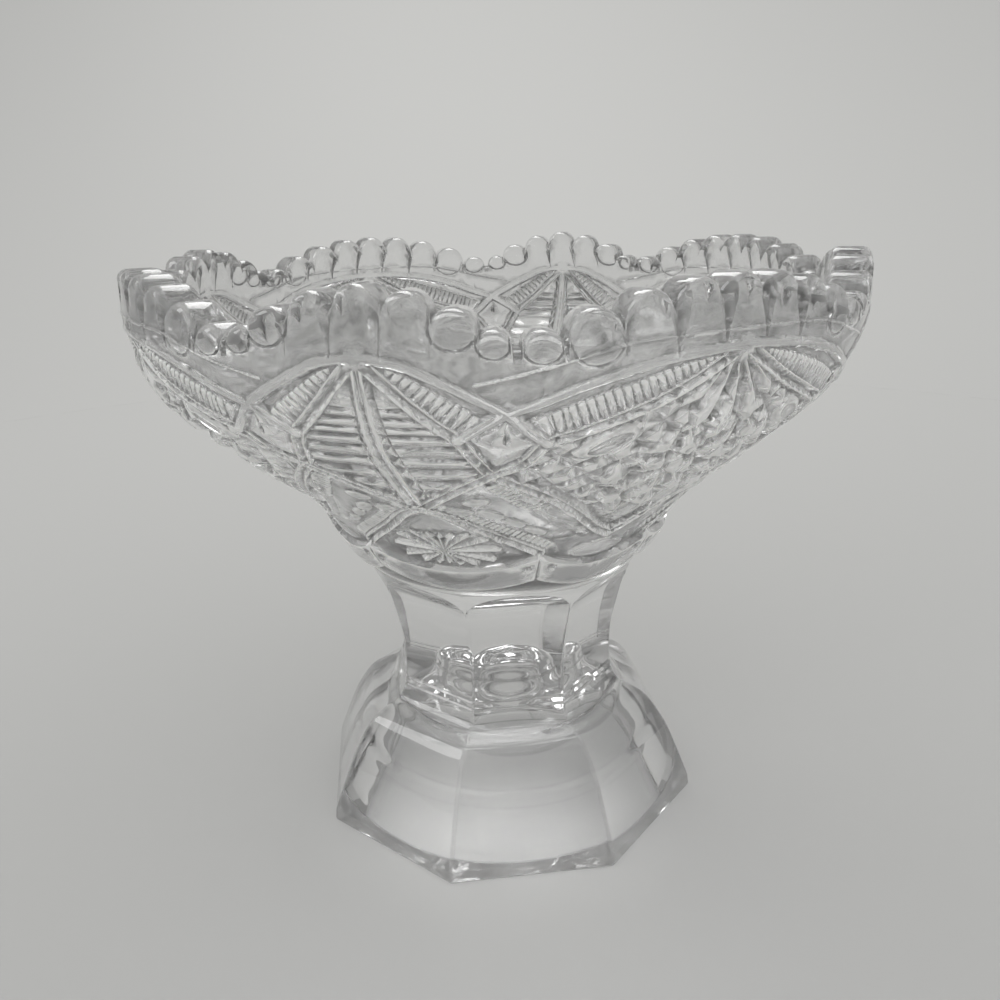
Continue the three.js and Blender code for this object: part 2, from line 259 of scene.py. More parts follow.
def ladderField(h, a, v, mitre, ribbon, outer, other, mitreName, corners):
    # bars across the narrow field between a ribbon and a mitre; past their ends a smooth hollow
    # follows the ribbon
    star, cross, corner = corners
    outline = np.concatenate([
        along(outer, star, cross), along(other, cross, corner), along(mitreName, corner, star),
    ])
    toMitre, run = mitre[mitreName]
    share = toMitre / (toMitre + ribbon[outer][0] + 1e-6)
    bed = -pattern["bedDepth"] + ladder["rungHeight"] * roundBars(run / ladder["step"])
    hollow = -pattern["bedDepth"] + ladder["hollowRise"] * ramp(share, ladder["hollowFrom"], 1.0) ** 2
    cut = lerp(bed, hollow, ramp(share, *ladder["rungEnd"]))
    cut = lerp(ladder["tipHeight"], cut, ramp(run, *ladder["tipFade"]))
    return np.where(inside(a, v, outline), cut, h)


kite = {
    "edgeHeight": -0.95,        # of the cushion, along the lines round it
    "domeRise": 1.2,
    "domeReach": (0.8, 6.5),    # mm from the nearest line
    "notch": [(16.5, 74.5), (16.5, 69.0)],      # its two ends
    "notchHeight": -0.75,
    "notchSlope": 1.1,
}


def kiteField(h, a, v, edge):
    # smooth cushion with a short upright notch under the crossing
    outline = np.concatenate([
        along("ribbonW", crossTop, kiteLeft), along("mitreA", kiteLeft, crossLow),
        along("mitreB", crossLow, kiteRight), along("ribbonN", kiteRight, crossTop),
    ])
    dome = kite["edgeHeight"] + kite["domeRise"] * (1 - (1 - ramp(edge, *kite["domeReach"])) ** 2)
    notch, _ = toLine(a, v, kite["notch"])
    dome = np.minimum(dome, kite["notchHeight"] + kite["notchSlope"] * notch)
    return np.where(inside(a, v, outline), dome, h)


panel = {
    # mm up the wall
    "stepTops": [86, 80.6, 77.4, 75.0, 73.0, 71.0, 68.8, 65.8, 61.6, 57.0, 51.2, 45.6, 40.0],
    "stepHeight": -0.12,        # of a step's upper edge
    "fall": 0.8,                # shares of a step that fall and that rise again
    "rise": 0.2,
    "edgeHeight": -0.15,        # the steps' ends sink towards the mitres
    "edgeDrop": 0.55,
    "edgeReach": (1.2, 2.8),
    "wedgeHeight": -1.0,        # two grooves beside the spine near the star, in place of the steps
    "wedgeSlope": 0.5,
    "wedgePlace": 2.0,
    "wedgeFade": (74.5, 78.5),
    "spineWidth": 0.75,         # half width at the star, and how much it gains on the way down
    "spineGain": 0.75,
    "spineFade": (0, 25),
    "spineHeight": 0.28,
    "spineDip": 0.55,
    "spineSlope": 1.3,
    "gutterHeight": -1.15,
    "gutterPlace": 2.1,         # in widths of the spine
}


def narrowPanel(h, a, v, mitre):
    # two-edged spine under the narrow star, with a stair of steps to both sides
    outline = np.concatenate([
        along("mitreA", starN, crossLow), along("mitreB", crossLow, crossFoot), [(-6, 39.5), (-6, 85.6)],
    ])
    x, _ = local(a, v, starN)
    x = np.abs(x)
    toEdge = np.minimum(mitre["mitreA"][0], mitre["mitreB"][0])
    tops = np.array(panel["stepTops"])
    k = np.clip(np.searchsorted(-tops, -v) - 1, 0, len(tops) - 2)
    share = np.clip((tops[k] - v) / (tops[k] - tops[k + 1]), 0, 1)
    deep = np.minimum(share / panel["fall"], (1 - share) / panel["rise"])
    step = panel["stepHeight"] - pattern["bedDepth"] * deep
    sunk = panel["edgeHeight"] - panel["edgeDrop"] * (1 - ramp(toEdge, *panel["edgeReach"]))
    step = np.minimum(step, sunk)
    wedge = panel["wedgeHeight"] + panel["wedgeSlope"] * np.abs(x - panel["wedgePlace"])
    step = lerp(step, np.minimum(wedge, 0), ease(v, *panel["wedgeFade"]))
    width = panel["spineWidth"] + panel["spineGain"] * ramp(85 - v, *panel["spineFade"])
    spine = panel["spineHeight"] - panel["spineDip"] * np.abs(x - width) / width
    spine = np.where(x > width, panel["spineHeight"] - panel["spineSlope"] * (x - width), spine)
    gutter = panel["gutterHeight"] + panel["spineSlope"] * np.abs(x - panel["gutterPlace"] * width)
    step = np.minimum(step, np.maximum(gutter, panel["gutterHeight"]))
    return np.where(inside(a, v, outline), np.maximum(step, spine), h)


flank = {
    # middle of the band of bars
    "bandPath": [(14.6, 52.5), (17.5, 47.0), (22, 40.4), (27, 33.6), (33, 27.2), (38, 23.2)],
    "barStep": 1.5,
    "barHeight": 0.85,
    "barFade": (14.0, 16.0),    # mm along the band where its bars end in a smooth strip
    "stripHeight": -0.15,
    "stripSlope": 0.3,
    "bandReach": (1.9, 2.3),    # half width of the band
    "ground": -0.62,
    "smallHeight": 0.7,         # bars beside the short mitre
    "smallFrom": (1.5, 1.9),
    "smallTo": 4.6,
    "almondEdge": -0.85,
    "almondHeight": 1.05,
    # middle, half length and half width in mm, and tilt in degrees
    "almonds": [
        ((20.4, 45.6), (4.1, 1.9), -58), ((28.0, 36.4), (7.2, 2.7), -47), ((7.4, 38.6), (3.6, 1.6), -20),
        ((11.2, 43.8), (3.2, 2.0), 20), ((13.6, 36.8), (3.8, 2.0), -46), ((18.4, 31.8), (3.6, 1.7), -44),
        ((23.6, 27.0), (3.6, 1.5), -38),
    ],
}


def flankField(h, a, v, mitre):
    # field between the two mitres that run down from the low crossing: a band of bars beside the
    # long mitre, then rows of almond cushions
    outline = np.concatenate([
        along("mitreA", crossLow, mitreEnd), [(50, 21.4), (50, 9.0), (26, 9.0)],
        along("mitreC", ledgeEnd, crossFoot), along("mitreB", crossFoot, crossLow),
    ])
    toBand, runBand = toLine(a, v, splinePoint(flank["bandPath"], np.linspace(0, 1, 33)))
    bars = -pattern["bedDepth"] + flank["barHeight"] * roundBars(runBand / flank["barStep"])
    strip = flank["stripHeight"] - flank["stripSlope"] * toBand
    band = lerp(bars, strip, ramp(runBand, *flank["barFade"]))
    shape = lerp(band, flank["ground"], ramp(toBand, *flank["bandReach"]))
    toC, runC = mitre["mitreC"]
    small = -pattern["bedDepth"] + flank["smallHeight"] * roundBars(runC / flank["barStep"])
    shape = lerp(shape, small, ramp(toC, *flank["smallFrom"]) * ramp(flank["smallTo"] - toC, 0, 0.4))
    for middle, size, tilt in flank["almonds"]:
        almond = cushion(a, v, middle, size, tilt, flank["almondEdge"], flank["almondHeight"])
        shape = np.maximum(shape, almond)
    return np.where(inside(a, v, outline), shape, h)


rosette = {
    "centre": (0, 19.0),
    "ground": -0.1,             # beside the short mitre, and how far it sinks away from it
    "groundDrop": 0.75,
    "groundReach": (1.0, 3.4),
    "rayTurn": 22.5,            # degrees from ray to ray
    "reach": (6.4, 6.8),        # length of an upright ray, and what a level one has more
    "notch": (0.78, 0.22),      # reach between two rays and the rest of it, as shares
    "height": 0.35,
    "raySlope": 0.13,
    "fall": 0.03,
    "tipSlope": 1.3,
    "tipHeight": 0.75,
}


def rosetteField(h, a, v, mitre):
    # half rosette that stands on the ledge under the narrow star, on a smooth hollowed ground
    outline = np.concatenate([along("mitreC", crossFoot, ledgeEnd), [(26, 0), (-8, 0), (-8, 39.5)]])
    drop = rosette["groundDrop"] * ramp(mitre["mitreC"][0], *rosette["groundReach"])
    ground = rosette["ground"] - drop
    x, y = local(a, v, rosette["centre"])
    turn = np.degrees(np.arctan2(y, np.abs(x)))
    ray = zigzag(turn / rosette["rayTurn"])
    rho = np.hypot(x, y)
    reach = rosette["reach"][0] + rosette["reach"][1] * np.cos(np.radians(turn)) ** 2
    tip = reach * (rosette["notch"][0] + rosette["notch"][1] * ray)
    star = rosette["height"] - rosette["raySlope"] * rho * (1 - ray) - rosette["fall"] * rho
    star = np.minimum(star, (tip - rho) * rosette["tipSlope"] - rosette["tipHeight"])
    return np.where(inside(a, v, outline), np.maximum(ground, star), h)


# facets are given as for gem: the height of a boss's edge, the slope of its sides, its highest top
wide = {
    "groundPitch": 8.4,         # pyramids between crossed cuts
    "groundHeight": -1.3,
    "groundRise": 1.25,
    "hobCentre": (45, 53.5),
    "hobRays": 8,
    "ray": (4.2, 9.6, 16.4),    # reach of its inner corner, its two shoulders and its tip
    "rayFacets": (-1.15, 0.95, 0.75),
    "point": (10.9, 16.9, 18.6),
    "pointTurn": 0.8,           # turn of its shoulders, in half steps from ray to ray
    "pointFacets": (-1.1, 0.95, 0.7),
    "button": 4.0,
    "buttonFacets": (-1.0, 0.8, 0.5),
    "wedges": [(0, 23.5, 3.3), (23, 21.0, 3.0), (43, 17.0, 2.4)],     # turn, reach, half width
    "wedgeShoulder": -0.72,     # where a wedge is widest, as a share of its reach
    "wedgeFacets": (-1.1, 0.95, 0.8),
    # leaf, the dish in it and ovals, as for cushion
    "leaf": ((29.6, 66.8), (7.4, 3.6), 33, -1.1, 1.7),
    "leafDish": ((29.6, 66.8), (4.6, 1.9), 33, 0.0, 0.7),
    "ovals": [((38.2, 37.6), (2.2, 4.8), 18, -0.95, 1.45), ((45.0, 33.2), (3.8, 5.6), 0, -0.95, 1.45)],
}


def wideField(h, a, v):
    # sector under the wide star: long wedges that fan out from the star, a leaf beside the mitre,
    # a hobstar of sixteen kites round a faceted button, and ovals below it
    outline = np.concatenate([
        along("mitreB", starW, crossLow), along("mitreA", crossLow, mitreEnd), [(50, 21.4), (50, 85.2)],
    ])
    x, y = local(a, v, wide["hobCentre"])
    one, other = (zigzag((x + way * y) / wide["groundPitch"]) for way in (-1, 1))
    shape = wide["groundHeight"] + wide["groundRise"] * np.minimum(one, other)
    half = math.pi / wide["hobRays"]
    for k in range(wide["hobRays"]):
        t = 2 * half * k + half
        start, shoulder, tip = wide["ray"]
        ray = [polar(start, t), polar(shoulder, t + half), polar(tip, t), polar(shoulder, t - half)]
        shape = np.maximum(shape, gem(x, y, ray, *wide["rayFacets"]))
        t += half
        start, shoulder, tip = wide["point"]
        side = half * wide["pointTurn"]
        point = [polar(start, t), polar(shoulder, t + side), polar(tip, t), polar(shoulder, t - side)]
        shape = np.maximum(shape, gem(x, y, point, *wide["pointFacets"]))
    button = [polar(wide["button"], t) for t in np.radians(np.arange(22.5, 360, 45))]
    shape = np.maximum(shape, gem(x, y, button, *wide["buttonFacets"]))
    x, y = local(a, v, starW)
    for turn, reach, half in wide["wedges"]:
        s, c = math.sin(math.radians(-turn)), math.cos(math.radians(-turn))
        shoulder = wide["wedgeShoulder"] * reach
        wedge = [(0, -1.0), (half, shoulder), (0, -reach), (-half, shoulder)]
        corners = [(px * c - py * s, px * s + py * c) for px, py in wedge]
        shape = np.maximum(shape, gem(x, y, corners, *wide["wedgeFacets"]))
    leaf = cushion(a, v, *wide["leaf"])
    dish = cushion(a, v, *wide["leafDish"])
    shape = np.maximum(shape, leaf - np.maximum(dish, 0))
    for oval in wide["ovals"]:
        shape = np.maximum(shape, cushion(a, v, *oval))
    return np.where(inside(a, v, outline), shape, h)


def relief(a, v):
    # height of the cut-style pattern over the plain wall, in mm: each field takes its own facets,
    # then the mitre grooves and the raised ribbons are laid over all of them
    h = np.zeros(np.shape(a))
    mitre = {name: toLine(a, v, along(name)) for name in ("mitreA", "mitreB", "mitreC")}
    ribbon = {name: toLine(a, v, along(name)) for name in ("ribbonN", "ribbonW")}
    edge = np.minimum.reduce([gap for gap, _ in mitre.values()] + [gap for gap, _ in ribbon.values()])
    h = ladderField(h, a, v, mitre, ribbon, "ribbonN", "ribbonW", "mitreA", (starN, crossTop, kiteLeft))
    h = ladderField(h, a, v, mitre, ribbon, "ribbonW", "ribbonN", "mitreB", (starW, crossTop, kiteRight))
    h = kiteField(h, a, v, edge)
    h = narrowPanel(h, a, v, mitre)
    h = flankField(h, a, v, mitre)
    h = rosetteField(h, a, v, mitre)
    h = wideField(h, a, v)
    h = np.maximum(h, cushion(a, v, *pattern["oval"]))
    width, lip = pattern["mitreWidth"], pattern["lip"]
    for gap, _ in mitre.values():
        bank = np.minimum(lip - pattern["bankSlope"] * (gap - width), lip)
        h = np.maximum(h, bank)
        h = np.where(gap < width, np.minimum(h, lip - pattern["mitreDepth"] * (1 - gap / width)), h)
    for gap, _ in ribbon.values():
        across = gap / pattern["ribbonWidth"]
        band = pattern["ribbonHeight"] - pattern["ribbonCrown"] * np.minimum(across, 1) ** 2
        band = band - pattern["bankSlope"] * np.maximum(gap - pattern["ribbonWidth"], 0)
        h = np.maximum(h, band)
    h = np.maximum(h, pattern["thinHeight"] - pattern["thinSlope"] * toLine(a, v, along("thin"))[0])
    for centre in (starN, starW):
        away = np.maximum(np.hypot(*local(a, v, centre)) - pattern["starRadius"], 0)
        h = np.maximum(h, pattern["starHeight"] - pattern["starSlope"] * away)
    return h


# beads along the rim in one eighth of the bowl, from the narrow scallop's middle to the wide
# one's: azimuth, height of the top, half width in mm, and how ring-like the bead's outer end is
rim = {
    "beads": [
        (0.0, 150.4, 4.45, 0), (5.6, 149.2, 4.3, 0), (10.9, 146.4, 4.1, 1), (15.2, 142.9, 2.9, 1),
        (20.5, 142.7, 3.4, 1), (26.4, 145.9, 4.7, 0.4), (32.7, 148.4, 4.75, 0), (38.9, 149.9, 4.75, 0),
        (45.0, 150.3, 4.75, 0),
    ],
    "roundness": 1.12,          # height of a big bead to its half width
    "flatness": 0.8,            # the same for the small ones with a ring
    "dip": 139.4,               # lowest point of the rim, between two small beads
    "corner": 2.3,              # rounding of a bead's two ends
    "radius": 88.8,
    "middleRadius": 84.0,
    "innerDrop": 15.0,          # where the fine mesh ends inside, below the scallop's root
    "scallopRoot": 146.5,
    "scallopDepth": 9.5,
    "narrowHalfAngle": 17.5,
    "grooveDepth": 1.5,         # valleys between beads, and how far down the wall they run out
    "grooveFade": 7.5,
    "grooveSpread": 1.3,        # half width of a valley, in its depths
    "grooveSlope": 0.75,
    "discHeight": 0.25,         # domed end of a small bead
    "discWidth": 0.95,          # as a share of the bead's
    "ringDepth": 0.55,          # fine groove round it: its depth, and in the disc's radii its
    "ringPlace": 1.06,          # place and half width
    "ringWidth": 0.1,
    "highest": 156.0,
}

ledge = {
    "cusp": 26.0,               # azimuth of the point between two arcs
    "low": 3.9,                 # edges under a star, in mm up the wall, and their rise to the cusp
    "high": 11.9,
    "lowRise": 4.2,
    "highRise": 4.8,
    "proud": 1.7,
    "bow": 0.3,                 # how far its edges lie back from its middle
    "dimpleHeight": 13.2,
    "dimples": (-2.3, 2.9),     # mm to the two sides of the cusp
    "dimpleDepth": 0.75,
    "dimpleSize": (1.5, 1.3),
    "creaseDepth": 0.5,         # upright crease at the cusp
    "creaseWidth": 0.5,
    "lowBevel": (-0.35, 0.2),   # where its two edges start and end, from the arcs
    "highBevel": (0.3, -0.15),
}

mesh = {
    "fineColumns": 315,         # in one eighth
    "coarseColumns": 360,       # all round
    "innerRings": 35,
    "fanStep": 1.2,             # mm from the last fine ring to the first coarse one
    "firstRow": 1.5,            # mm above the stem joint where the fine mesh starts
    "patternStart": 18.2,       # mm up the wall, level rows from here to patternEnd
    "patternEnd": 84.0,
    "patternRows": 250,
    "cornerRows": 8,            # round each corner of a bead, over its top and down its inside
    "topRows": 9,
    "downRows": 12,
    "trianglesInEighth": 20000,
    "sharpAngle": 22,           # edges that bend more than this many degrees stay crisp
    "mergeWithin": 0.00001,     # metres
}


def scallopRoot(a):
    # height of the root of the beads: arcs that meet in dips between two scallops
    inNarrow = a < rim["narrowHalfAngle"]
    away = np.where(inNarrow, a / rim["narrowHalfAngle"], (45 - a) / (45 - rim["narrowHalfAngle"]))
    return rim["scallopRoot"] - rim["scallopDepth"] * np.abs(away) ** 2.2


def beadTop(a):
    # height of the rim: the highest of the beads' half ellipses
    top = np.maximum(scallopRoot(a) - 1.0, rim["dip"])
    for middle, height, half, ring in rim["beads"]:
        d = np.radians(a - middle) * rim["middleRadius"] / half
        tall = half * lerp(rim["roundness"], rim["flatness"], ring)
        arch = height - tall + tall * np.sqrt(np.clip(1 - d * d, 0, 1))
        top = np.maximum(top, np.where(np.abs(d) < 1, arch, 0))
    return top


def beadEnds(a, z):
    # outer ends of the beads: small ones end in a domed disc with a fine groove round it, large
    # ones run into the wall with only the valleys between them left
    h = np.zeros(np.shape(a))
    for middle, height, half, ring in rim["beads"]:
        tall = half * lerp(rim["roundness"], rim["flatness"], ring)
        d = np.radians(a - middle) * rim["radius"] / half
        q = np.hypot(d / rim["discWidth"], (z - height + tall) / tall)
        disc = rim["discHeight"] * np.sqrt(np.clip(1 - q * q, 0, 1))
        groove = -rim["ringDepth"] * np.clip(1 - np.abs(q - rim["ringPlace"]) / rim["ringWidth"], 0, 1)
        h += ring * np.where(q < 1, disc, groove)
        fade = ramp(z, height - tall - rim["grooveFade"], height - tall + 1) ** 1.5
        deep = rim["grooveDepth"] * fade
        for way in (-1, 1):
            gap = np.abs(d - way) * half
            valley = (gap - deep * rim["grooveSpread"]) * rim["grooveSlope"] * (1 - ring)
            h = np.minimum(h, valley + 9 * ring)        # a bead with a ring has no valley
    return h


def ledgeEdges(a):
    # lower and upper edge of the ledge, in mm up the wall: arcs that rise to a cusp
    share = np.where(a < ledge["cusp"], a / ledge["cusp"], (45 - a) / (45 - ledge["cusp"]))
    return ledge["low"] + ledge["lowRise"] * share**2, ledge["high"] + ledge["highRise"] * share**2


def ledgeHeight(a, v):
    # the swagged ledge: a proud band with a softly rounded face and a dimple beside each cusp
    low, high = ledgeEdges(a)
    t = (v - (low + high) / 2) / ((high - low) / 2)
    face = ledge["proud"] - ledge["bow"] * t**2
    x, y = local(a, v, (ledge["cusp"], ledge["dimpleHeight"]))
    width, height = ledge["dimpleSize"]
    for place in ledge["dimples"]:
        face = face - ledge["dimpleDepth"] * np.clip(1 - np.hypot((x - place) / width, y / height), 0, 1)
    face = face - ledge["creaseDepth"] * np.clip(1 - np.abs(x) / ledge["creaseWidth"], 0, 1)
    below = ramp(v, low + ledge["lowBevel"][0], low + ledge["lowBevel"][1])
    return face * below * ramp(v, high + ledge["highBevel"][0], high + ledge["highBevel"][1])


def outerHeight(a, v, z):
    # all relief on the outside of the wall, in mm
    _, high = ledgeEdges(a)
    over = relief(a, v) * ramp(v, high - 0.1, high + 0.3)
    return np.where(v < high + 0.3, np.maximum(over, ledgeHeight(a, v)), over) + beadEnds(a, z)


# wall carried straight up past the curve's end, for the beads
wallTall = np.vstack([wallFine, [[rim["radius"], rim["highest"]]]])
tallLength = np.concatenate([wallLength, [wallLength[-1] + rim["highest"] - wallFine[-1, 1]]])


def tallWall(v):
    return np.interp(v, tallLength, wallTall[:, 0]), np.interp(v, tallLength, wallTall[:, 1])


def innerCurve():
    # inside of the bowl: the outer curve moved in by the thickness, then the dished floor
    t = np.linspace(1, 0.2, 33)
    p = splinePoint(wallPoints, t)
    ahead, behind = np.clip(t + 0.001, 0, 1), np.clip(t - 0.001, 0, 1)
    q = splinePoint(wallPoints, ahead) - splinePoint(wallPoints, behind)
    q /= np.linalg.norm(q, axis=1)[:, None]
    thick = lerp(bowl["wall"], bowl["rimWall"], ramp(t, bowl["thickenFrom"], 1.0))
    rows = np.stack([p[:, 0] - q[:, 1] * thick, p[:, 1] + q[:, 0] * thick], -1)
    rows = np.vstack([rows, bowl["floor"]])
    return splinePoint(rows[::2], np.linspace(0, 1, 400))


inner = innerCurve()
innerLength = np.concatenate([[0], np.cumsum(np.hypot(*np.diff(inner, axis=0).T))])


def innerPlace(run):
    # radius and height that many mm along the inner curve
    return np.interp(run, innerLength, inner[:, 0]), np.interp(run, innerLength, inner[:, 1])


def ringPoint(a, r, z):
    # points at azimuth a, radius r and height z
    s = np.radians(a)
    return np.stack([r * np.sin(s), -r * np.cos(s), z + 0 * s], -1)


def innerStart(a):
    # how far down the inner curve the fine mesh ends, in mm along it
    return np.interp(-(scallopRoot(a) - rim["innerDrop"]), -inner[:, 1], innerLength)


def outerRows(a, top):
    # rows of the grid up the outside, in mm up the wall: they follow the ledge's arcs, then lie
    # level through the pattern, then follow the beads
    low, high = ledgeEdges(a)
    end = np.interp(top - rim["corner"], wallTall[:, 1], tallLength)
    flat = np.ones(np.shape(a))
    # where each stretch starts, and its number of rows
    stops = [
        (mesh["firstRow"] * flat, 4), (low - 0.4, 5), (low + 0.25, 8), (high - 0.2, 5), (high + 0.35, 8),
        (mesh["patternStart"] * flat, mesh["patternRows"]), (mesh["patternEnd"] * flat, 36), (end, 0),
    ]
    rows = []
    for (start, count), (stop, _) in zip(stops, stops[1:]):
        share = np.arange(count)[:, None] / count
        rows.append(start + share * (stop - start))
    return np.concatenate(rows + [end[None, :]])


def fineEighth():
    # one eighth of the bowl's outside and rim as a grid: rows run up the patterned wall, over the
    # bead and down the inside; columns go round
    a = np.linspace(0, 45, mesh["fineColumns"] + 1)
    top = beadTop(a)
    corner = rim["corner"]
    v = outerRows(a, top)
    end = v[-1]
    aa = np.broadcast_to(a, v.shape)
    r, z = tallWall(v)
    _, _, nr, nz = wallAt(np.minimum(v, wallLength[-1]))
    h = outerHeight(aa, v, z) * ramp(v, mesh["firstRow"], mesh["firstRow"] + 0.5)
    rows = [ringPoint(aa, r + nr * h, z + nz * h)]
    # the round end of a bead starts where the wall's relief left off
    rOut, _ = tallWall(end)
    rOut = rOut + nr[-1] * h[-1]
    rIn = np.interp(-(top - corner), -inner[:, 1], inner[:, 0])

    def arc(start, stop, middle):
        turn = np.radians(np.linspace(start, stop, mesh["cornerRows"] + 1)[1:])[:, None]
        z = top - corner + corner * np.sin(turn)
        return ringPoint(a, middle + corner * np.cos(turn), z)

    rows.append(arc(0, 90, rOut - corner))
    across = np.linspace(0, 1, mesh["topRows"] + 1)[1:, None]
    rows.append(ringPoint(a, lerp(rOut - corner, rIn + corner, across), top + 0 * across))
    rows.append(arc(90, 180, rIn + corner))
    downFrom = np.interp(-(top - corner), -inner[:, 1], innerLength)
    run = lerp(downFrom, innerStart(a), np.linspace(0, 1, mesh["downRows"] + 1)[1:, None])
    rows.append(ringPoint(a, *innerPlace(run)))
    return np.concatenate(rows)


def gridFaces(rows, columns, start=0, closed=False):
    # four-sided faces of a grid of points stored row by row
    i = np.arange(rows - 1)[:, None] * columns
    j = np.arange(columns if closed else columns - 1)[None, :]
    k = (j + 1) % columns
    return np.stack([i + j, i + k, i + columns + k, i + columns + j], -1).reshape(-1, 4) + start


def tube(rings, slotIndex=0):
    # rings that are joined to one another, as one part of a piece
    rings = np.asarray(rings)
    rows, columns = rings.shape[:2]
    return rings.reshape(-1, 3), gridFaces(rows, columns, closed=True), slotIndex


def disc(ring, z, slotIndex=0):
    # closes a ring with a fan to its middle
    n = len(ring)
    return np.concatenate([ring, [[0, 0, z]]]), [(j, (j + 1) % n, n) for j in range(n)], slotIndex


def placed(name, data):
    # object of that data at the origin, in the scene
    made = bpy.data.objects.new(name, data)
    bpy.context.scene.collection.objects.link(made)
    return made


def newMesh(name, points, faces):
    made = bpy.data.meshes.new(name)
    made.from_pydata([tuple(p) for p in points], [], [tuple(int(i) for i in f) for f in faces])
    made.update()
    return made


def thinned(points, faces, edge, goal):
    # fewer triangles for the same shape, with the points of the edge left alone
    made = newMesh("eighth", points, faces)
    thing = placed("eighth", made)
    group = thing.vertex_groups.new(name="free")
    group.add([int(i) for i in np.flatnonzero(~edge)], 1.0, "REPLACE")
    group.add([int(i) for i in np.flatnonzero(edge)], 0.0, "REPLACE")
    less = thing.modifiers.new("less", "DECIMATE")
    less.ratio = goal / (2 * len(faces))
    less.vertex_group = "free"
    less.vertex_group_factor = 1000.0       # so strong that points outside the group stay
    shown = bpy.context.evaluated_depsgraph_get()
    result = bpy.data.meshes.new_from_object(thing.evaluated_get(shown))
    co = np.empty(len(result.vertices) * 3)
    result.vertices.foreach_get("co", co)
    result.calc_loop_triangles()
    tris = np.empty(len(result.loop_triangles) * 3, np.int32)
    result.loop_triangles.foreach_get("vertices", tris)
    bpy.data.objects.remove(thing)
    bpy.data.meshes.remove(made)
    bpy.data.meshes.remove(result)
    return co.reshape(-1, 3), tris.reshape(-1, 3)


def markEdges(made):
    # how sharply each point stands out from its neighbours: c = -mean(n . u), with the point's normal n
    # and the directions u to its neighbours; above 0 on ridges, below 0 in creases. The glass paints a
    # highlight on the ridges and shade in the creases from this value. The rim was polished by fire, so
    # its ridges count for less and get less painted highlight.
    count = len(made.vertices)
    points, normals = np.empty(count * 3), np.empty(count * 3)
    made.vertices.foreach_get("co", points)
    made.vertex_normals.foreach_get("vector", normals)
    points, normals = points.reshape(-1, 3), normals.reshape(-1, 3)
    ends = np.empty(len(made.edges) * 2, int)
    made.edges.foreach_get("vertices", ends)
    a, b = ends.reshape(-1, 2).T
    u = points[b] - points[a]
    u /= np.maximum(np.linalg.norm(u, axis=1, keepdims=True), 1e-9)
    total = np.bincount(a, (normals[a] * u).sum(1), count)
    total -= np.bincount(b, (normals[b] * u).sum(1), count)
    share = np.bincount(ends, minlength=count)
    sharpness = -total / np.maximum(share, 1)
    polish = ramp(points[:, 2] * 1000, pattern["crestPaintFadeFrom"], pattern["crestPaintFadeTo"])
    sharpness *= np.where(sharpness > 0, 1 - pattern["crestPaintFadeShare"] * polish, 1)
    edge = made.attributes.new("edge", "FLOAT", "POINT")
    edge.data.foreach_set("value", sharpness)


def makePiece(name, parts, materials, cadNode, sharpAngle):
    # one closed glass piece from stacks of points and faces, each with its material's index:
    # doubles are merged, faces point outwards, and edges sharper than the limit stay crisp
    points, faces, slots, start = [], [], [], 0
    for p, f, slotIndex in parts:
        points.append(np.asarray(p).reshape(-1, 3))
        faces.extend([tuple(int(i) + start for i in q) for q in f])
        slots.extend([slotIndex] * len(f))
        start += len(points[-1])
    made = newMesh(name, np.concatenate(points) / 1000, faces)
    made.polygons.foreach_set("material_index", slots)
    work = bmesh.new()
    work.from_mesh(made)
    bmesh.ops.remove_doubles(work, verts=work.verts, dist=mesh["mergeWithin"])
    bmesh.ops.recalc_face_normals(work, faces=work.faces)
    if work.calc_volume(signed=True) < 0:
        bmesh.ops.reverse_faces(work, faces=work.faces)
    openEdges = sum(1 for e in work.edges if len(e.link_faces) != 2)
    work.to_mesh(made)
    work.free()
    made.polygons.foreach_set("use_smooth", [True] * len(made.polygons))
    made.set_sharp_from_angle(angle=math.radians(sharpAngle))
    markEdges(made)
    thing = placed(name, made)
    for material in materials:
        made.materials.append(material)
    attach(thing, "root")
    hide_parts(cadNode)
    count = sum(len(p.vertices) - 2 for p in made.polygons)
    print(name, "triangles", count, "edges without two faces", openEdges)


def node(tree, kind, settings=None, links=None):
    # adds a node with its settings, and links its inputs to the outputs named
    made = tree.nodes.new(kind)
    for key, value in (settings or {}).items():
        if key in made.inputs:
            made.inputs[key].default_value = value
        else:
            setattr(made, key, value)
    for key, source in (links or {}).items():
        tree.links.new(source, made.inputs[key])
    return made


def emptyMaterial(name):
    made = bpy.data.materials.new(name)
    made.use_nodes = True
    made.node_tree.nodes.clear()
    return made, made.node_tree


def linear(hexColour):
    # sRGB hex to linear colour with alpha
    parts = [int(hexColour[i:i + 2], 16) / 255 for i in (1, 3, 5)]
    return [c / 12.92 if c <= 0.04045 else ((c + 0.055) / 1.055) ** 2.4 for c in parts] + [1.0]


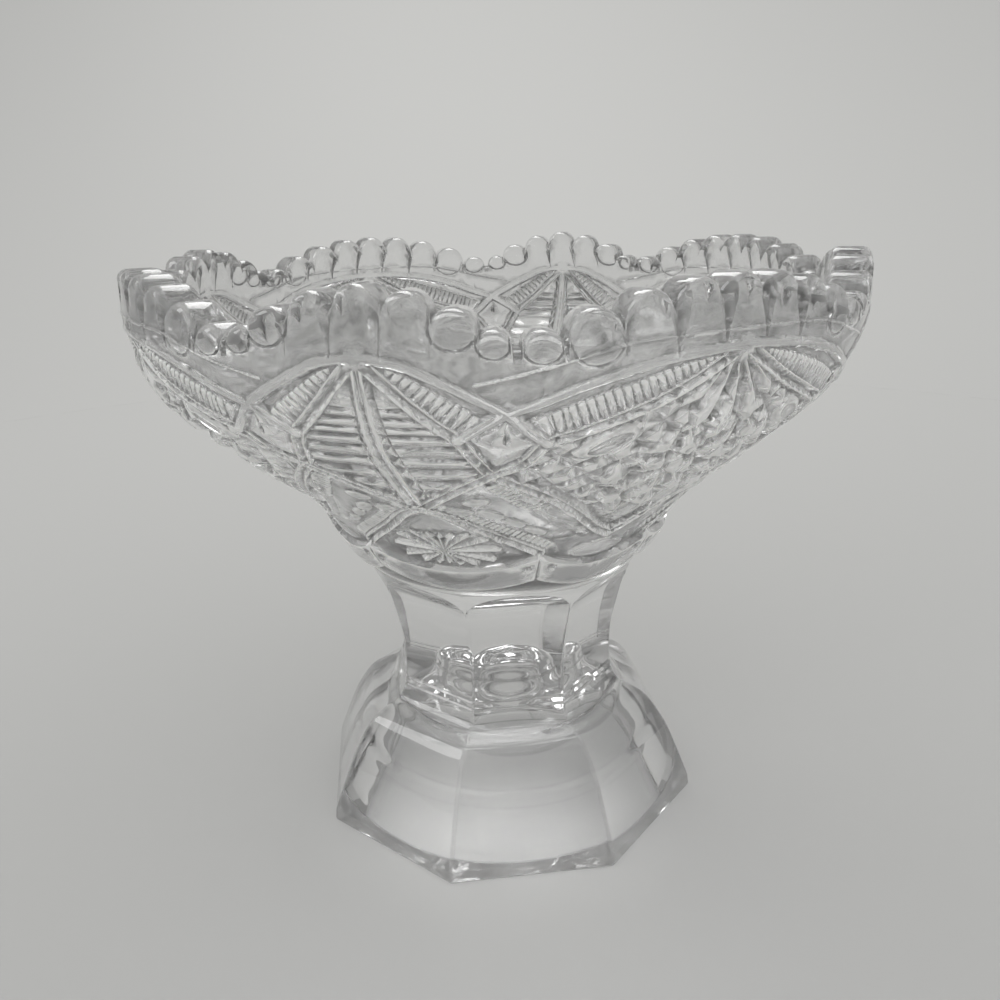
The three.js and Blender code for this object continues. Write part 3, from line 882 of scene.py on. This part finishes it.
glassLook = {
    # pressed, then fire-polished: the patterned bowl
    "bowl": {
        "name": "pressed_fire_polished_soda_lime_glass",
        "tint": "#fafafa",
        "roughness": 0.075,     # of the glass under its skin: it blurs what is far behind the wall
        "wave": 0.06,           # unevenness left by the mould
        # matte painted highlight on the bowl's crests
        "paintedCrestColour": "#fafaf8",
        "paintedEdgeShare": 0.78,           # share of matte painted highlight on the sharpest crests
        "sharp": 0.16,          # value of the edge attribute on such a crest
    },
    # the plain parts: sharp panels and a smooth hollow
    "smooth": {
        "name": "pressed_smooth_soda_lime_glass",
        "tint": "#f6f6f6",
        "roughness": 0.012,
        "wave": 0.16,
        # painted grey line of shade along the arrises of stem and foot
        "paintedCrestColour": "#9c9c9a",
        "paintedEdgeShare": 0.34,
        "sharp": 0.05,
    },
    "crestFrom": 0.12,          # where the painted highlight and the painted shade start and the painted shade is full, as shares of sharp
    "creaseFrom": -0.15,
    "creaseFull": -1.1,
    "ior": 1.52,
    "skin": 0.8,                # fire-polished skin, which gives the sharp glints
    "skinRoughness": 0.01,
    "skinIor": 1.5,
    "waveScale": 90.0,          # waves about 11 mm long
    "paintedShadeColour": "#5e5e5c",    # painted shade in the bottoms of the cuts
    "paintedShade": 0.65,               # share of painted shade in a crease to the painted highlight on a crest
    "shadowTint": "#fafafb",
}


def glass(look):
    # clear pressed glass: it bends and reflects the room; the crests get a matte painted colour (a
    # painted highlight on the bowl, a painted grey line of shade on the plain parts), and the bottoms of
    # the cuts a painted grey shade; lamps shine through it in straight lines
    made, tree = emptyMaterial(look["name"])
    where = node(tree, "ShaderNodeTexCoord")
    slow = node(tree, "ShaderNodeTexNoise", {
        "Scale": glassLook["waveScale"], "Detail": 1.0, "Roughness": 0.4,
    }, {"Vector": where.outputs["Object"]})
    bump = node(tree, "ShaderNodeBump", {"Strength": look["wave"], "Distance": 0.001}, {
        "Height": slow.outputs["Fac"],
    })
    body = node(tree, "ShaderNodeBsdfPrincipled", {
        "Base Color": linear(look["tint"]), "Roughness": look["roughness"], "IOR": glassLook["ior"],
        "Transmission Weight": 1.0, "Coat Weight": glassLook["skin"],
        "Coat Roughness": glassLook["skinRoughness"], "Coat IOR": glassLook["skinIor"],
    }, {"Normal": bump.outputs["Normal"]})
    edge = node(tree, "ShaderNodeAttribute", {"attribute_name": "edge"})
    crest = node(tree, "ShaderNodeMapRange", {
        "From Min": glassLook["crestFrom"] * look["sharp"], "From Max": look["sharp"],
        "To Min": 0.0, "To Max": look["paintedEdgeShare"],
    }, {"Value": edge.outputs["Fac"]})
    crease = node(tree, "ShaderNodeMapRange", {
        "From Min": glassLook["creaseFrom"] * look["sharp"],
        "From Max": glassLook["creaseFull"] * look["sharp"],
        "To Min": 0.0, "To Max": glassLook["paintedShade"] * look["paintedEdgeShare"],
    }, {"Value": edge.outputs["Fac"]})
    # matte painted colour on the crests: a painted highlight on the bowl, a painted line of shade on the
    # plain parts
    paintedCrest = node(tree, "ShaderNodeBsdfPrincipled", {
        "Base Color": linear(look["paintedCrestColour"]), "Roughness": 0.5, "IOR": glassLook["ior"],
    })
    # painted grey shade in the bottoms of the cuts, where the edge value is below 0
    paintedShade = node(tree, "ShaderNodeBsdfPrincipled", {
        "Base Color": linear(glassLook["paintedShadeColour"]), "Roughness": 0.6, "IOR": glassLook["ior"],
    })
    onCrests = node(tree, "ShaderNodeMixShader", links={
        0: crest.outputs[0], 1: body.outputs[0], 2: paintedCrest.outputs[0],
    })
    inCreases = node(tree, "ShaderNodeMixShader", links={
        0: crease.outputs[0], 1: onCrests.outputs[0], 2: paintedShade.outputs[0],
    })
    through = node(tree, "ShaderNodeBsdfTransparent", {"Color": linear(glassLook["shadowTint"])})
    path = node(tree, "ShaderNodeLightPath")
    mix = node(tree, "ShaderNodeMixShader", links={
        0: path.outputs["Is Shadow Ray"], 1: inCreases.outputs[0], 2: through.outputs[0],
    })
    node(tree, "ShaderNodeOutputMaterial", links={"Surface": mix.outputs[0]})
    return made


def fused(name):
    # faces that were joined hot: nothing bends or reflects light there
    made, tree = emptyMaterial(name)
    through = node(tree, "ShaderNodeBsdfTransparent")
    node(tree, "ShaderNodeOutputMaterial", links={"Surface": through.outputs[0]})
    return made


glassMaterial = glass(glassLook["bowl"])
smoothMaterial = glass(glassLook["smooth"])
jointMaterial = fused("hot_joint_in_glass")
print("materials done")


def bowlParts():
    # eight mirrored copies of the fine eighth, then a coarser inside and the neck at the joint
    eighth = fineEighth()
    rows, columns = eighth.shape[:2]
    edge = np.zeros((rows, columns), bool)
    edge[0] = edge[-1] = True
    edge[:, 0] = edge[:, -1] = True
    faces = gridFaces(rows, columns)
    co, tris = thinned(eighth.reshape(-1, 3), faces, edge.ravel(), mesh["trianglesInEighth"])
    parts = []
    mirror = np.array([-1.0, 1.0, 1.0])
    for k in range(4):
        s, c = math.sin(math.pi / 2 * k), math.cos(math.pi / 2 * k)
        spin = np.array([[c, s, 0], [-s, c, 0], [0, 0, 1]])
        parts.append((co @ spin, tris, 0))
        parts.append(((co * mirror) @ spin, tris[:, ::-1], 0))
    # fine ring all round, and the coarser ring that it fans out from
    n = mesh["coarseColumns"]
    per = mesh["fineColumns"] * 8 // n
    fineA = np.arange(mesh["fineColumns"] * 8) * 360 / (mesh["fineColumns"] * 8)
    folded = np.abs(((fineA + 45) % 90) - 45)
    coarseA = np.arange(n) * 360 / n
    foldedCoarse = np.abs(((coarseA + 45) % 90) - 45)

    def fan(fineRing, coarseRing):
        # triangles between a fine ring and a coarser one
        pts = np.concatenate([fineRing, coarseRing])
        m = len(fineRing)
        faces = []
        for j in range(n):
            k = (j + 1) % n
            half = per // 2
            for i in range(per):
                f0, f1 = j * per + i, (j * per + i + 1) % m
                faces.append((f0, f1, m + (j if i < half else k)))
            faces.append((j * per + half, m + k, m + j))
        return pts, faces, 0

    # inside
    fineRing = ringPoint(fineA, *innerPlace(innerStart(folded)))
    share = np.linspace(0, 1, mesh["innerRings"])[:-1, None]
    run = lerp(innerStart(foldedCoarse) + mesh["fanStep"], innerLength[-1], share)
    rings = ringPoint(coarseA, *innerPlace(run))
    parts.append(fan(fineRing, rings[0]))
    parts.append(tube(rings))
    parts.append(disc(rings[-1], inner[-1, 1]))
    # neck over the stem joint
    r, z = tallWall(np.array(mesh["firstRow"]))
    fineRing = ringPoint(fineA, r, z)
    neck = ringPoint(coarseA, bowl["jointRadius"], bowl["jointHeight"])
    parts.append(fan(fineRing, neck))
    parts.append(disc(neck, bowl["jointHeight"], 1))
    return parts


makePiece("bowl_glass", bowlParts(), [glassMaterial, jointMaterial], "bowl", mesh["sharpAngle"])
print("bowl done")


# stem and foot
foot = {
    "height": 38.0,
    "band": 3.5,                # upright band at the table
    "bandEdge": 0.3,            # bevel at its top, and how far in and how high its rounded foot runs
    "bandFoot": [(0.7, 0.0), (0.25, 0.15), (0, 0.6)],
    "radius": 54.6,             # to the corners
    "bandTaper": 0.4,
    "neckRadius": 31.0,
    # shares of the way in and up
    "dome": [(0.19, 0.36), (0.347, 0.56), (0.568, 0.74), (0.907, 0.86), (1, 1)],
    "hollowMouth": 44.0,        # its radius at the table and at the joint
    "hollowNeck": 13.0,
    "noseHeight": 10.0,         # how far it reaches up into the stem
    # shares of the way in and up to the joint, then of the nose's radius and height
    "narrowing": [
        (0, 0), (0.177, 0.29), (0.29, 0.474), (0.452, 0.63), (0.71, 0.763), (0.92, 0.88), (1, 1),
    ],
    "nose": [(0.88, 0.48), (0.52, 0.85), (0, 1)],
    # soft rings that the plunger leaves in the hollow: height, half width and depth
    "plungerRings": [(24.0, 1.6, 1.5), (14.0, 2.2, 0.16)],
    "collar": 1.9,              # band between the two fine grooves at the stem joint
    "grooveDepth": 0.4,
    "grooveWidth": 0.45,
    "cornerFillet": 1.6,        # rounding of the eight corners, of the stem too
    "sharpAngle": 20,
}
stem = {
    "height": 34.0,
    "topRadius": 37.5,
    "archHeight": 8.0,          # of the panels' arched tops
    "archGap": 0.5,             # they stop this far under the bowl joint
    "sharpAngle": 12,
    # shares of the way out and up
    "taper": [(0, 0), (0, 0.3), (0.246, 0.55), (0.585, 0.8), (1, 1)],
}
panelHalf = 22.5
panelCos = math.cos(math.radians(panelHalf))


def panelColumns():
    # azimuths round the stem and foot, closer together where a corner is rounded; the corners lie
    # on the stars' meridians
    near = [0, 0.3, 0.6, 0.9, 1.2, 1.6]
    far = list(np.linspace(2.4, panelHalf, 19))
    one = np.array(near + far)
    both = np.concatenate([one, 45 - one[1:-1][::-1]])
    return np.concatenate([both + 45 * k for k in range(8)])


def octagon(corner, a, share=0.0):
    # radius of the eight-sided outline with rounded corners; share 1 brings the panels out to the
    # round
    off = np.abs(a % 45 - panelHalf)
    side = corner * lerp(panelCos, 1.0, share) / np.cos(np.radians(off))
    fillet = foot["cornerFillet"]
    middle = corner - fillet / math.sin(math.radians(90 - panelHalf))
    away = np.radians(panelHalf - off)
    reach = fillet * math.tan(math.radians(panelHalf))
    touch = np.arctan2(reach * panelCos, corner - reach * math.sin(math.radians(panelHalf)))
    bow = middle * np.cos(away) + np.sqrt(np.clip(fillet**2 - (middle * np.sin(away)) ** 2, 0, None))
    return np.minimum(np.where(away < touch, np.minimum(bow, side), side), corner)


def collarCut(z):
    # depth of the two fine grooves that bound the collar at the stem joint
    cut = 0 * z
    for middle in (foot["height"], foot["height"] - foot["collar"]):
        share = np.clip(1 - np.abs(z - middle) / foot["grooveWidth"], 0, 1)
        cut = np.maximum(cut, foot["grooveDepth"] * share)
    return cut


def footParts():
    # outside, fused top, hollow, and the ring that it stands on
    a = panelColumns()
    domePoints = [(foot["radius"] - foot["bandTaper"], foot["band"])]
    domePoints += [
        (lerp(foot["radius"], foot["neckRadius"], i), u * foot["height"]) for i, u in foot["dome"]
    ]
    # closer rows near the top, where the grooves lie
    t = np.concatenate([np.linspace(0, 0.86, 50), np.linspace(0.862, 1, 50)])
    dome = splinePoint(domePoints, t)
    band = [(foot["radius"] - i, z) for i, z in foot["bandFoot"]]
    band.append((foot["radius"] - foot["bandEdge"], foot["band"] - foot["bandEdge"]))
    outline = np.vstack([band, dome])
    hollow = hollowCurve()
    low = hollow[hollow[:, 1] <= foot["height"] + 1e-6]     # the part of it that lies in the foot
    rows = [ringPoint(a, octagon(r, a) - collarCut(z), z) for r, z in outline]
    down = [ringPoint(a, r, z) for r, z in low[::-1]]
    return [tube(rows), tube([rows[-1], down[0]], 1), tube(down), tube([down[-1], rows[0]])]


def hollowCurve():
    # hollow under the foot: it narrows to the neck and ends in a round nose inside the stem
    mouth, neck, height = foot["hollowMouth"], foot["hollowNeck"], foot["height"]
    points = [(lerp(mouth, neck, i), u * height) for i, u in foot["narrowing"]]
    points += [(o * neck, height + u * foot["noseHeight"]) for o, u in foot["nose"]]
    # share of the curve at which it reaches the joint
    joint = (len(foot["narrowing"]) - 1) / (len(points) - 1)
    t = np.concatenate([np.linspace(0, joint, 91), np.linspace(joint, 1, 25)[1:]])
    curve = splinePoint(points, t)
    for place, reach, size in foot["plungerRings"]:
        curve[:, 0] -= size * np.clip(1 - ((curve[:, 1] - place) / reach) ** 2, 0, 1) ** 2
    curve[-1, 0] = 0
    return curve


def stemParts():
    # outside, fused top, fused bottom, and the end of the hollow
    a = panelColumns()
    low, high = foot["height"], foot["height"] + stem["height"]
    points = [
        (lerp(foot["neckRadius"], stem["topRadius"], out), low + up * stem["height"])
        for out, up in stem["taper"]
    ]
    curve = splinePoint(points, np.linspace(0, 1, 400))
    off = np.abs(a % 45 - panelHalf) / panelHalf
    # the panels end in arches: under the arch line a panel is flat, above it the stem is round
    arch = high - stem["archGap"] - stem["archHeight"] * (1 - np.sqrt(1 - off**2))
    start = low + 2 * foot["grooveWidth"]
    heights = [low + t * (start - low) + 0 * a for t in np.linspace(0, 1, 7)[:-1]]
    heights += [start + t * (arch - start) for t in np.linspace(0, 1, 61)]
    heights += [arch + t * (high - arch) for t in np.linspace(0, 1, 9)[1:]]
    rows = []
    for z in heights:
        r = np.interp(z, curve[:, 1], curve[:, 0])
        up = np.clip(1 - (high - stem["archGap"] - z) / stem["archHeight"], 0, 1)
        flat = octagon(r, a, up**2)
        rows.append(ringPoint(a, np.where(z > arch + 1e-6, r, flat) - collarCut(z), z))
    rows[-1] = ringPoint(a, stem["topRadius"], high)
    hollow = hollowCurve()
    nose = hollow[hollow[:, 1] >= foot["height"] - 1e-6]
    up = [ringPoint(a, r, z) for r, z in nose[:-1]]
    return [
        tube(rows), disc(rows[-1], high, 1), tube([rows[0], up[0]], 1), tube(up),
        disc(up[-1], nose[-1, 1]),
    ]


makePiece("stem_glass", stemParts(), [smoothMaterial, jointMaterial], "stem", stem["sharpAngle"])
makePiece("foot_glass", footParts(), [smoothMaterial, jointMaterial], "foot", foot["sharpAngle"])
print("stem and foot done")


# floor, light and camera; lengths in metres
studio = {
    "turn": 16.275,             # the camera's frame against the part's, in degrees
    "position": (-0.00285, -0.23454, 0.16444),
    "yaw": 0.0115,              # radians
    "pitch": 0.3325,
    "roll": -0.0229,
    "lens": 32.45,
    "floor": "#b4b4b2",
    "floorLevel": -0.0004,      # a hair under the foot, so that the two faces don't meet
    "sweepStart": 0.6,          # where the curved sheet leaves the floor
    "sweepRadius": 1.25,
    "sweepSlope": 58,           # how far it bends up, in degrees
    "sweepHalfAngle": 50,       # narrow, so that the glass also gets grey from the room beside it
    "world": "#fafafa",         # soft light of the room on the object
    "worldStrength": 0.8,
    "roomSeen": "#8c8c8b",      # the room as glass and camera see it
    "bounces": 24,              # enough for a ray that crosses both walls of the bowl
}

# place, target, size and watts
lamps = {
    "softbox_back": ((-0.25, 0.75, 1.15), (0, 0.95, 0), (1.1, 0.6), 7.4),
    "softbox_left": ((-0.75, -0.25, 0.8), (0, 0, 0.08), (0.3, 0.5), 1.2),
}

# light that the glass gathers on the floor inside the hollow, in front, which the render doesn't
# work out: narrow spots from above
gathered = {
    "spots": [(-40, 32), (-6, 33), (30, 33)],       # degrees from the front, mm from the axis
    "place": (0, -0.75, 0.95),
    "apart": 0.1,
    "watts": 12.0,
    "cone": 2.4,
    "blend": 0.6,
    "size": 0.012,
}


def plainMaterial(name, colour):
    # matte paper: pale, and without a shine of its own
    made = bpy.data.materials.new(name)
    made.use_nodes = True
    body = made.node_tree.nodes["Principled BSDF"]
    body.inputs["Base Color"].default_value = linear(colour)
    body.inputs["Roughness"].default_value = 0.9
    body.inputs["Specular IOR Level"].default_value = 0.1
    return made


def stagePiece(name, points, faces, material):
    made = placed(name, newMesh(name, points, faces))
    made.data.materials.append(material)
    made.data.polygons.foreach_set("use_smooth", [True] * len(made.data.polygons))


def floorAndSweep():
    # round floor, and behind it a sheet that curves up from the floor
    paper = plainMaterial("pale_paper_sweep", studio["floor"])
    level = studio["floorLevel"]
    a = np.arange(96) * 360 / 96
    rings = [ringPoint(a, r, level) for r in (1e-6, 0.3, studio["sweepStart"])]
    points, faces, _ = tube(rings)
    stagePiece("studio_floor", points, faces, paper)
    a = np.linspace(-studio["sweepHalfAngle"], studio["sweepHalfAngle"], 49) + 180 + studio["turn"]
    rings = []
    for t in np.radians(np.linspace(0, studio["sweepSlope"], 17)):
        out = studio["sweepStart"] + studio["sweepRadius"] * math.sin(t)
        rings.append(ringPoint(a, out, level + studio["sweepRadius"] * (1 - math.cos(t))))
    stagePiece("studio_sweep", np.concatenate(rings), gridFaces(len(rings), len(a)), paper)


def roomLight():
    # one light on matte surfaces, and one plain grey for the camera, reflections and glass
    world = bpy.data.worlds.new("room")
    bpy.context.scene.world = world
    world.use_nodes = True
    tree = world.node_tree
    tree.nodes.clear()
    light = node(tree, "ShaderNodeBackground", {
        "Color": linear(studio["world"]), "Strength": studio["worldStrength"],
    })
    seen = node(tree, "ShaderNodeBackground", {"Color": linear(studio["roomSeen"]), "Strength": 1.0})
    path = node(tree, "ShaderNodeLightPath")
    either = node(tree, "ShaderNodeMath", {"operation": "MAXIMUM"}, {
        0: path.outputs["Is Camera Ray"], 1: path.outputs["Is Glossy Ray"],
    })
    whole = node(tree, "ShaderNodeMath", {"operation": "MAXIMUM"}, {
        0: either.outputs[0], 1: path.outputs["Is Transmission Ray"],
    })
    mix = node(tree, "ShaderNodeMixShader", links={
        0: whole.outputs[0], 1: light.outputs[0], 2: seen.outputs[0],
    })
    node(tree, "ShaderNodeOutputWorld", links={"Surface": mix.outputs[0]})


def aimed(thing, place, target):
    thing.location = place
    thing.rotation_mode = "QUATERNION"
    thing.rotation_quaternion = (Vector(target) - Vector(place)).to_track_quat("-Z", "Y")


def lampsAndSpots():
    for name, (place, target, size, watts) in lamps.items():
        data = bpy.data.lights.new(name, "AREA")
        data.shape = "RECTANGLE"
        data.size, data.size_y = size
        data.energy = watts
        aimed(placed(name, data), place, target)
    for k, (turn, reach) in enumerate(gathered["spots"]):
        name = "gathered_light_%d" % k
        data = bpy.data.lights.new(name, "SPOT")
        data.energy = gathered["watts"]
        data.spot_size = math.radians(gathered["cone"])
        data.spot_blend = gathered["blend"]
        data.shadow_soft_size = gathered["size"]
        x, y, z = gathered["place"]
        target = ringPoint(turn + studio["turn"], reach / 1000, 0)
        aimed(placed(name, data), (x + gathered["apart"] * k, y, z), target)


def photoCamera():
    # camera at the photo's angle: yaw, pitch and roll in its own frame, then turned with that frame
    # round the object's axis
    cosY, sinY = math.cos(studio["yaw"]), math.sin(studio["yaw"])
    cosP, sinP = math.cos(studio["pitch"]), math.sin(studio["pitch"])
    cosR, sinR = math.cos(studio["roll"]), math.sin(studio["roll"])
    look = Vector((sinY * cosP, cosY * cosP, -sinP))
    across = Vector((cosY, -sinY, 0))
    upward = across.cross(look)
    right = across * cosR + upward * sinR
    up = -across * sinR + upward * cosR
    turned = Matrix.Rotation(math.radians(studio["turn"]), 4, "Z")
    pose = Matrix((
        (right.x, up.x, -look.x, studio["position"][0]),
        (right.y, up.y, -look.y, studio["position"][1]),
        (right.z, up.z, -look.z, studio["position"][2]),
        (0, 0, 0, 1),
    ))
    data = bpy.data.cameras.new("camera")
    data.lens = studio["lens"]
    data.sensor_width = 36
    data.sensor_fit = "HORIZONTAL"
    data.clip_start = 0.01
    camera = placed("camera", data)
    camera.matrix_world = turned @ pose
    bpy.context.scene.camera = camera


floorAndSweep()
roomLight()
lampsAndSpots()
photoCamera()
bpy.context.scene.view_settings.view_transform = "Standard"
cycles = bpy.context.scene.cycles
cycles.transmission_bounces = studio["bounces"]
cycles.glossy_bounces = studio["bounces"]
cycles.max_bounces = studio["bounces"]
cycles.transparent_max_bounces = studio["bounces"]

print("camera and light done")
